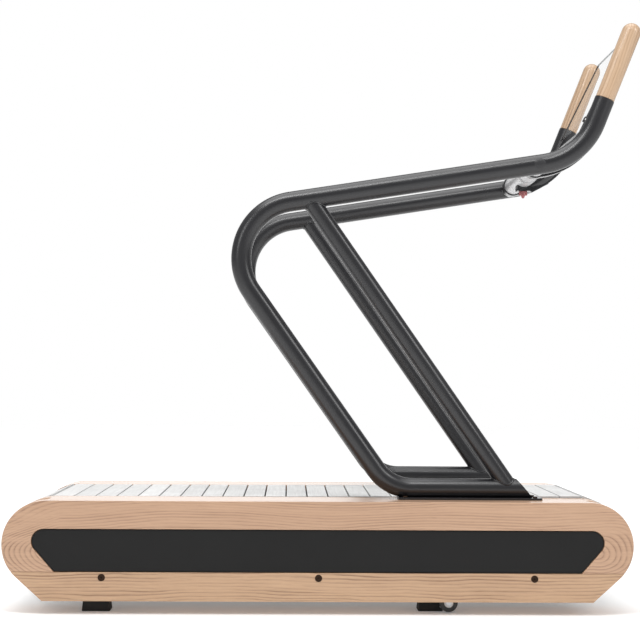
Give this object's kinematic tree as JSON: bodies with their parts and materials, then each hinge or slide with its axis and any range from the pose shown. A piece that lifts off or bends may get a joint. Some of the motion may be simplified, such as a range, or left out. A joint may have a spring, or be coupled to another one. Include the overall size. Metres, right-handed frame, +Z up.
{
  "type": "curved manual treadmill",
  "caption": "Self-powered slat-belt treadmill with rounded timber side bodies, bent-tube handrails, timber grips and a clear display panel.",
  "frame": {"origin": "on the floor under the middle of the whole object's box", "axes": "+X to the front, the grip end, along the belt; +Y to the runner's left across the belt; +Z up"},
  "size_m": [1.7868, 0.8316, 1.6725],
  "materials": {
    "ash": "satin oil",
    "ash_light": "satin oil",
    "grip_wood": "smooth oiled",
    "inset": "satin",
    "frame_black": "fine powder coat",
    "steel": "satin",
    "bearing_steel": "polished",
    "drum_alloy": "turned",
    "silver": "satin anodised",
    "slat": "sealed pale grey",
    "belt": "matte",
    "black_rubber": "matte",
    "wheel_tyre": "matte",
    "screw_black": "satin",
    "knob_red": "satin",
    "clear": "clear polished"
  },
  "bodies": {
    "chassis": {"upper_side_board_r": "ash", "upper_side_board_l": "ash", "lower_side_board_r": "ash_light", "lower_side_board_l": "ash_light", "inset_plate_r": "inset", "inset_plate_l": "inset", "panel_screws": "screw_black", "foot_board_r": "ash", "foot_board_l": "ash", "end_noses_r": "ash", "end_noses_l": "ash", "inner_cheek_r": "ash", "inner_cheek_l": "ash", "bottom_board_r": "ash_light", "bottom_board_l": "ash_light", "side_beam_r": "frame_black", "side_beam_l": "frame_black", "front_cross_member": "frame_black", "rear_cross_member": "frame_black", "bearing_rail_r": "steel", "bearing_rail_l": "steel", "track_bearings_r": "bearing_steel", "track_bearings_l": "bearing_steel", "drum_axles": "steel", "axle_blocks": "frame_black", "handrail_plate_r": "frame_black", "handrail_plate_l": "frame_black", "plate_bolts": "screw_black", "handrail_tube_r": "frame_black", "handrail_tube_l": "frame_black", "handrail_brace_r": "frame_black", "handrail_brace_l": "frame_black", "rail_caps": "frame_black", "grip_r": "grip_wood", "grip_l": "grip_wood", "crossbar": "silver", "front_foot_r": "black_rubber", "front_foot_l": "black_rubber", "rear_foot_r": "black_rubber", "rear_foot_l": "black_rubber", "wheel_brackets": "steel"},
    "top_run": {"top_slats": "slat", "top_belts": "belt"},
    "bottom_run": {"bottom_slats": "slat", "bottom_belts": "belt"},
    "front_turn": {"front_drum": "drum_alloy", "front_slats": "slat", "front_belts": "belt"},
    "rear_turn": {"rear_drum": "drum_alloy", "rear_slats": "slat", "rear_belts": "belt"},
    "display": {"console_housing": "silver", "clamp_block": "frame_black", "display_cradle": "frame_black", "clear_panel": "clear"},
    "knob": {"clamp_knob": "knob_red"},
    "wheel_right": {"transport_wheel_r": "wheel_tyre"},
    "wheel_left": {"transport_wheel_l": "wheel_tyre"}
  },
  "joints": [
    {"name": "belt_travel", "type": "slide", "parent": "chassis", "child": "top_run", "axis": [1, 0, 0.0033], "range_m": [-0.03025, 0.03025]},
    {"name": "belt_return", "type": "slide", "parent": "chassis", "child": "bottom_run", "axis": [1, 0, 0.0033], "range_m": [-0.03035, 0.03035]},
    {"name": "front_drum_turn", "type": "hinge", "parent": "chassis", "child": "front_turn", "pos_m": [0.71861, 0, 0.19366], "axis": [0, 1, 0], "range_deg": [-15.12, 15.12]},
    {"name": "rear_drum_turn", "type": "hinge", "parent": "chassis", "child": "rear_turn", "pos_m": [-0.76538, 0, 0.18874], "axis": [0, 1, 0], "range_deg": [-15.12, 15.12]},
    {"name": "display_tilt", "type": "hinge", "parent": "chassis", "child": "display", "pos_m": [0.59961, 0, 1.2632], "axis": [0, 1, 0], "range_deg": [-15, 10]},
    {"name": "knob_turn", "type": "hinge", "parent": "display", "child": "knob", "pos_m": [0.59961, 0, 1.215], "axis": [0, 0, 1], "continuous": true},
    {"name": "wheel_right_spin", "type": "hinge", "parent": "chassis", "child": "wheel_right", "pos_m": [0.33961, -0.362, 0.028], "axis": [0, 1, 0], "continuous": true},
    {"name": "wheel_left_spin", "type": "hinge", "parent": "chassis", "child": "wheel_left", "pos_m": [0.33961, 0.362, 0.028], "axis": [0, 1, 0], "continuous": true}
  ],
  "couplings": [
    {"joint": "belt_return", "follows": "belt_travel", "ratio": -1},
    {"joint": "front_drum_turn", "follows": "belt_travel", "rad_per_m": 8.6957},
    {"joint": "rear_drum_turn", "follows": "belt_travel", "rad_per_m": 8.6957}
  ]
}
